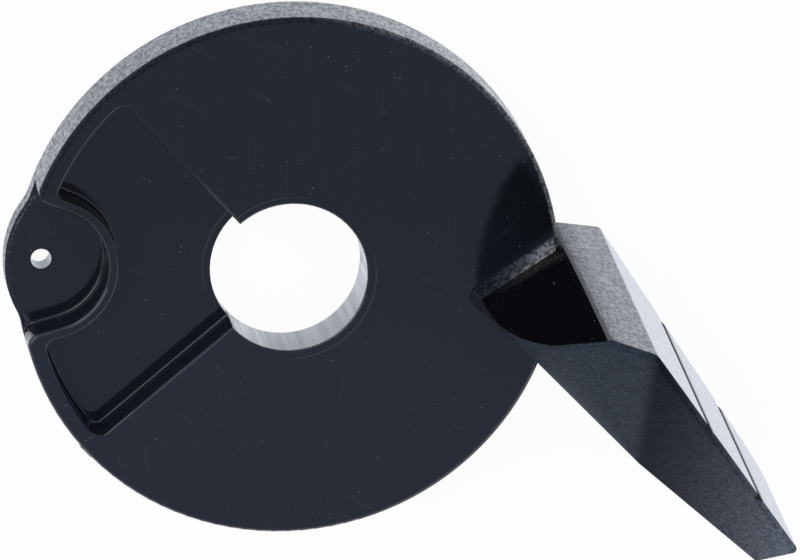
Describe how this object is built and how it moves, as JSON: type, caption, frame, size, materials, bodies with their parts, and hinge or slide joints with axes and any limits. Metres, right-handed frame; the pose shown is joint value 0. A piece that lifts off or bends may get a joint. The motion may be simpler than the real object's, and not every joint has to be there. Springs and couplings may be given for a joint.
{
  "type": "throttle lever",
  "caption": "Moulded black plastic throttle lever: a flat disc with a pivot bore, a sector pocket, a cable lug with a hole, and a tall tapered thumb paddle with grip grooves.",
  "frame": {"origin": "on the axis of the pivot bore, at the flat back of the disc", "axes": "+Z along the pivot bore out of the face, towards the top of the paddle; -X from the bore to the cable hole"},
  "size_m": [0.0727, 0.05, 0.0344],
  "materials": {
    "black_plastic": "polished face and pocket, fine texture on the rim and the paddle"
  },
  "bodies": {
    "root": {"throttle_lever": "black_plastic"}
  },
  "joints": []
}
